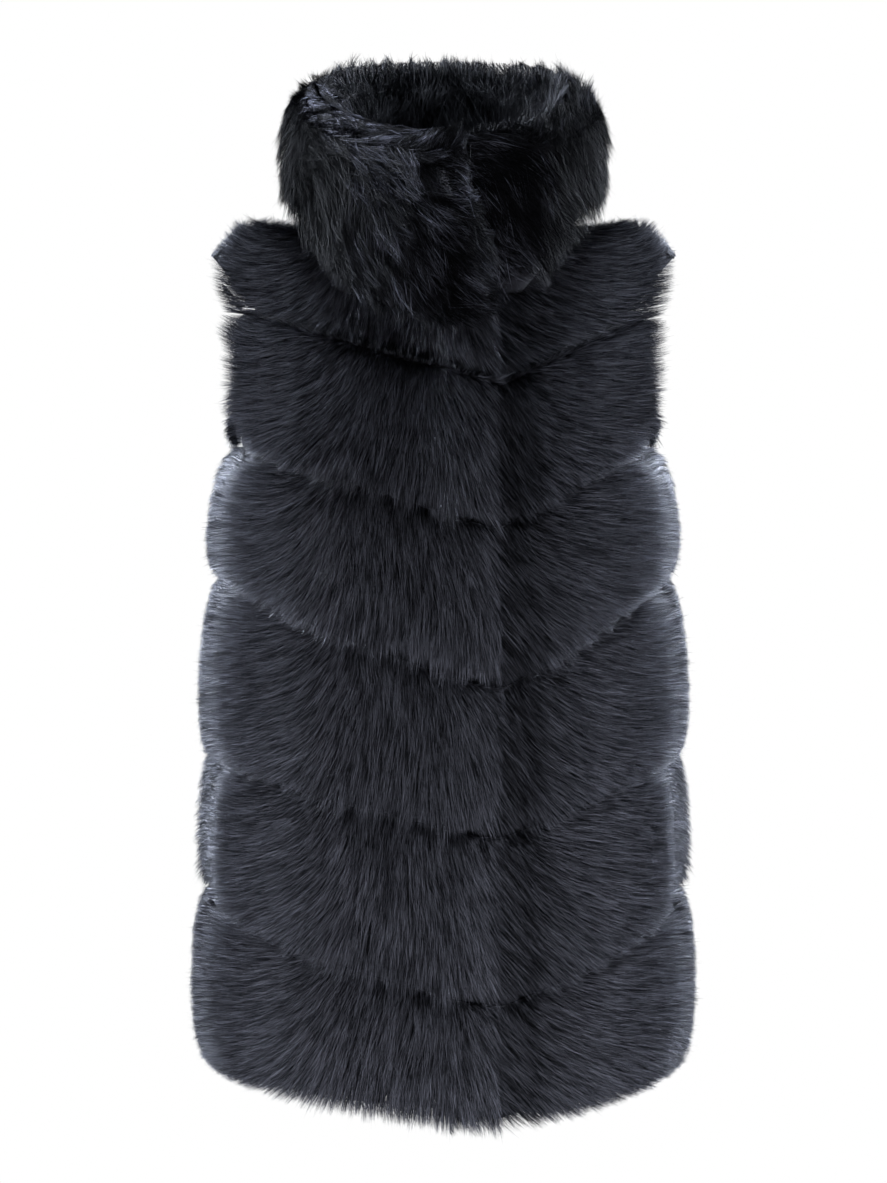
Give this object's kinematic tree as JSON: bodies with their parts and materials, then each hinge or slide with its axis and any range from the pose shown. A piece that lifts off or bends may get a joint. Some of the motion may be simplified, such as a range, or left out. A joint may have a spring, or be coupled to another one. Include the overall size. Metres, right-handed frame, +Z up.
{
  "type": "fur vest",
  "caption": "Sleeveless long-haired fur vest in chevron tiers with a tall furred stand collar and a lapped front, shown filled out as worn.",
  "frame": {"origin": "midway between the neck points of the two shoulder seams, where the wearer's shoulders carry the vest", "axes": "+Z up along the body, -Y the way the wearer faces, +X the wearer's left"},
  "size_m": [0.4208, 0.3416, 0.8573],
  "materials": {
    "body_fur": "long straight fur, dark navy, over a thin hide",
    "collar_fur": "long straight fur, dark navy, over a thin hide",
    "facing_fur": "long straight fur, dark navy, over a thin hide"
  },
  "bodies": {
    "root": {"front_right_tier_1": "body_fur", "front_right_tier_2": "body_fur", "front_right_tier_3": "body_fur", "front_right_tier_4": "body_fur", "front_right_tier_5": "body_fur", "front_right_tier_6": "body_fur", "front_left_tier_1": "body_fur", "front_left_tier_2": "body_fur", "front_left_tier_3": "body_fur", "front_left_tier_4": "body_fur", "front_left_tier_5": "body_fur", "front_left_tier_6": "body_fur", "back_tier_1": "body_fur", "back_tier_2": "body_fur", "back_tier_3": "body_fur", "back_tier_4": "body_fur", "back_tier_5": "body_fur", "back_tier_6": "body_fur", "collar_outer": "collar_fur", "collar_facing": "facing_fur"}
  },
  "joints": []
}
